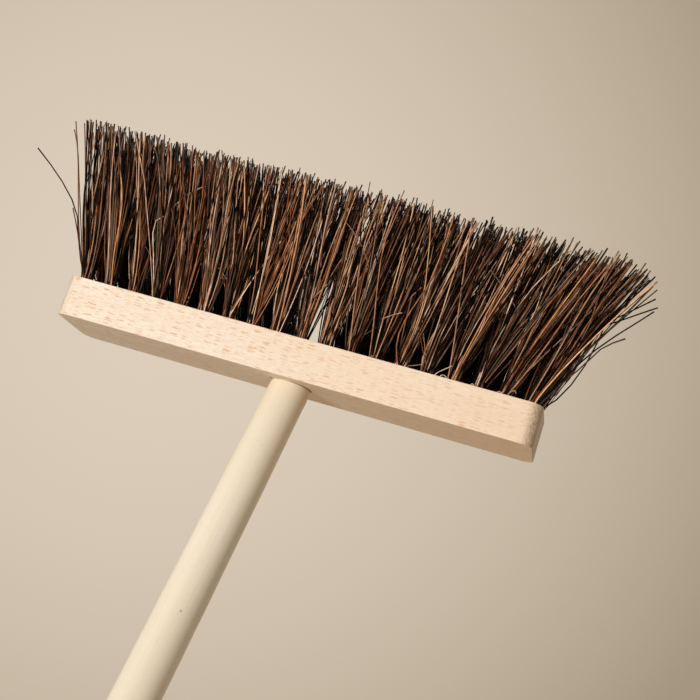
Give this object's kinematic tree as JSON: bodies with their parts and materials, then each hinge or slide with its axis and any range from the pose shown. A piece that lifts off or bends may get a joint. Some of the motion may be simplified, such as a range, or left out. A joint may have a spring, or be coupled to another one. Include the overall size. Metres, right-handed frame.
{
  "type": "yard broom",
  "caption": "Yard broom with a straight wooden stock, staggered tufts of stiff dark palm fibre and a round wooden handle wedged into a slanting tapered socket.",
  "frame": {"origin": "Where the handle's axis meets the stock's flat handle side, at the mouth of the socket.", "axes": "+X runs along the stock, +Z is square to the stock towards the bristle tips, and -Y is the side that the handle leans to. The handle runs down from the origin and leans 28.5 degrees towards -Y, so the broom is head up, as it hangs or leans on a wall."},
  "size_m": [0.4128, 0.7022, 1.3259],
  "materials": {
    "stock_wood": "bare planed beech with fine brown flecks along the grain",
    "handle_wood": "bare sanded pale wood, slightly greyed by handling",
    "palm_fibre": "stiff dark brown palm fibre with some orange-brown and grey strands"
  },
  "bodies": {
    "handle": {"handle": "handle_wood"},
    "head": {"stock": "stock_wood", "tuft_back_01": "palm_fibre", "tuft_back_02": "palm_fibre", "tuft_back_03": "palm_fibre", "tuft_back_04": "palm_fibre", "tuft_back_05": "palm_fibre", "tuft_back_06": "palm_fibre", "tuft_back_07": "palm_fibre", "tuft_back_08": "palm_fibre", "tuft_back_09": "palm_fibre", "tuft_back_11": "palm_fibre", "tuft_back_12": "palm_fibre", "tuft_back_13": "palm_fibre", "tuft_back_14": "palm_fibre", "tuft_back_15": "palm_fibre", "tuft_back_16": "palm_fibre", "tuft_back_17": "palm_fibre", "tuft_back_18": "palm_fibre", "tuft_back_19": "palm_fibre", "tuft_front_01": "palm_fibre", "tuft_front_02": "palm_fibre", "tuft_front_03": "palm_fibre", "tuft_front_04": "palm_fibre", "tuft_front_05": "palm_fibre", "tuft_front_06": "palm_fibre", "tuft_front_07": "palm_fibre", "tuft_front_08": "palm_fibre", "tuft_front_09": "palm_fibre", "tuft_front_10": "palm_fibre", "tuft_front_11": "palm_fibre", "tuft_front_12": "palm_fibre", "tuft_front_13": "palm_fibre", "tuft_front_14": "palm_fibre", "tuft_front_15": "palm_fibre", "tuft_front_16": "palm_fibre", "tuft_front_17": "palm_fibre", "tuft_front_18": "palm_fibre", "tuft_front_19": "palm_fibre", "tuft_middle_01": "palm_fibre", "tuft_middle_02": "palm_fibre", "tuft_middle_03": "palm_fibre", "tuft_middle_04": "palm_fibre", "tuft_middle_05": "palm_fibre", "tuft_middle_06": "palm_fibre", "tuft_middle_07": "palm_fibre", "tuft_middle_08": "palm_fibre", "tuft_middle_11": "palm_fibre", "tuft_middle_12": "palm_fibre", "tuft_middle_13": "palm_fibre", "tuft_middle_14": "palm_fibre", "tuft_middle_15": "palm_fibre", "tuft_middle_16": "palm_fibre", "tuft_middle_17": "palm_fibre", "tuft_middle_18": "palm_fibre"}
  },
  "joints": [
    {"name": "head_slide", "type": "slide", "parent": "handle", "child": "head", "axis": [0, 0.4772, 0.8788], "range_m": [0, 0.06]}
  ]
}
